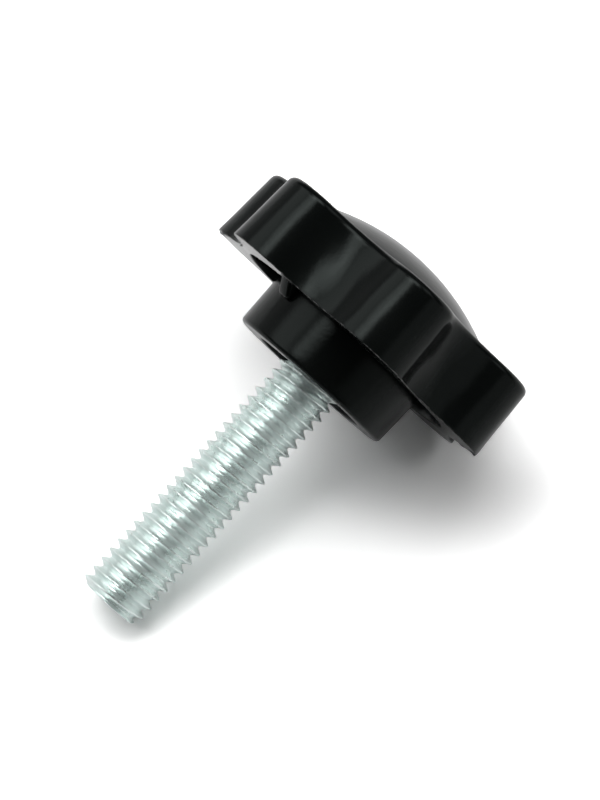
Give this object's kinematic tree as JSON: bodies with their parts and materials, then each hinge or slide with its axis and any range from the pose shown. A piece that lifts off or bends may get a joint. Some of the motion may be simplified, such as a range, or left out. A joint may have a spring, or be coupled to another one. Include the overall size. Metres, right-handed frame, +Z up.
{
  "type": "thumb screw",
  "caption": "Thumb screw: a black plastic star-shaped hand knob with a low dome and a round boss, moulded on a zinc-plated steel threaded stud.",
  "frame": {"origin": "on the ground, at the middle of the lying screw's footprint box", "axes": "+Z up, +X along the ground from the stud's tip towards the head, +Y to the left of that"},
  "size_m": [0.0392, 0.03, 0.0273],
  "materials": {
    "black_plastic": "moulded gloss",
    "zinc_plated_steel": "bright zinc plating"
  },
  "bodies": {
    "root": {"star_head": "black_plastic", "threaded_stud": "zinc_plated_steel"}
  },
  "joints": []
}
